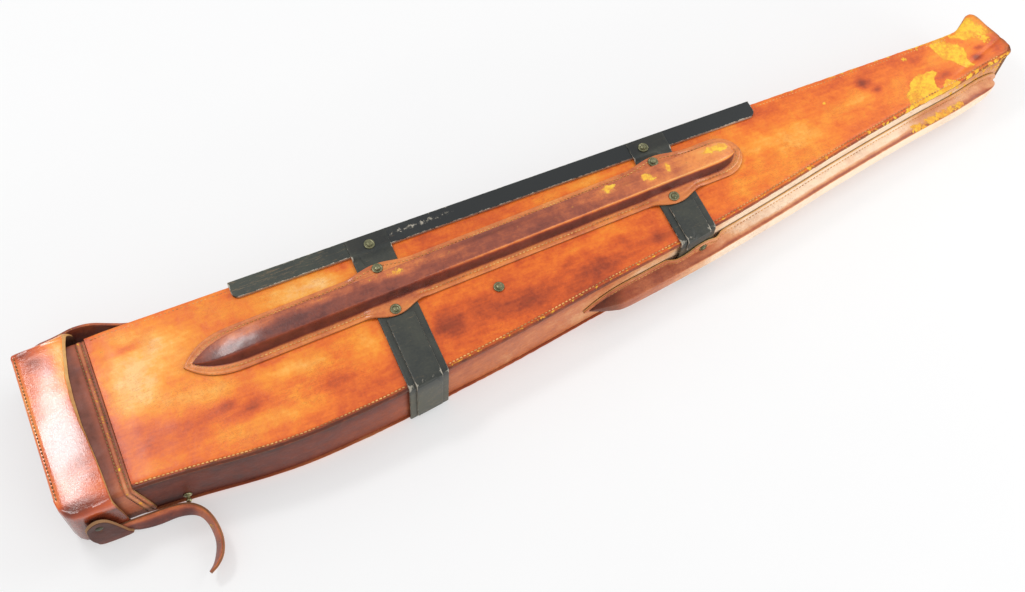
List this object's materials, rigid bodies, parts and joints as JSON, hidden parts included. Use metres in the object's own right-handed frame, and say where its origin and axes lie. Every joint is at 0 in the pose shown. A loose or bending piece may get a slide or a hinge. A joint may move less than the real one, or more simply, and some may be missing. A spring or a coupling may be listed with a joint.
{
  "type": "long leather case",
  "caption": "Long tapered saddle-leather rod or long-gun case with hinged end cap, moulded ribs, steel mounting rail and hoops, brass rivets and a loose closing strap.",
  "frame": {"origin": "centre of the bounding box on the surface that the case lies on", "axes": "+X from the cap to the narrow muzzle end, +Y to the straight edge with the steel rail, +Z out of the front panel"},
  "size_m": [1.22, 0.288, 0.0958],
  "materials": {
    "panel_leather": "worn glossy orange-tan saddle leather",
    "gusset_leather": "dark red-brown saddle leather with creases",
    "collar_leather": "dark smooth red-brown leather",
    "rib_leather": "moulded purple-brown leather, worn through to tan",
    "strap_leather": "orange-brown strap leather with rough edges",
    "rail_steel": "black paint, chipped and scratched",
    "hoop_steel": "greenish-black paint, worn bright at the edges",
    "brass": "dull antique brass",
    "rib_filling": "stiff felt, not seen"
  },
  "bodies": {
    "case": {"front_panel": "panel_leather", "back_panel": "gusset_leather", "bottom_gusset_wide": "gusset_leather", "bottom_gusset_middle": "gusset_leather", "bottom_gusset_narrow": "gusset_leather", "top_gusset": "gusset_leather", "muzzle_gusset": "gusset_leather", "collar_front": "collar_leather", "collar_back": "collar_leather", "collar_top": "collar_leather", "collar_bottom": "collar_leather", "hinge_strap_body": "collar_leather", "rail": "rail_steel", "hoop_left": "hoop_steel", "hoop_right": "hoop_steel", "doubler_front_left": "hoop_steel", "doubler_edge_left": "hoop_steel", "doubler_front_right": "hoop_steel", "doubler_edge_right": "hoop_steel", "front_rib_cover": "rib_leather", "front_rib_core": "rib_filling", "bottom_rib_cover": "rib_leather", "bottom_rib_core": "rib_filling", "rivet_rib_left_upper": "brass", "rivet_rib_left_lower": "brass", "rivet_rib_right_upper": "brass", "rivet_rib_right_lower": "brass", "rivet_rail_left": "brass", "rivet_rail_right": "brass", "rivet_panel": "brass", "rivet_edge": "brass", "stud_base": "brass", "stud_knob": "brass"},
    "cap": {"cap_front": "panel_leather", "cap_back": "gusset_leather", "cap_top_wall": "gusset_leather", "cap_end_wall": "gusset_leather", "cap_bottom_wall": "gusset_leather", "hinge_strap_cap": "collar_leather", "strap_tab": "collar_leather", "rivet_tab": "brass", "strap_root": "strap_leather"},
    "strap": {"closing_strap": "strap_leather"}
  },
  "joints": [
    {"name": "cap_hinge", "type": "hinge", "parent": "case", "child": "cap", "pos_m": [-0.542, 0.13966, 0.03865], "axis": [0, 0, -1], "range_deg": [0, 100]},
    {"name": "strap_swing", "type": "hinge", "parent": "cap", "child": "strap", "pos_m": [-0.5505, -0.06534, 0.0125], "axis": [0, 0, -1], "range_deg": [0, 60]}
  ]
}
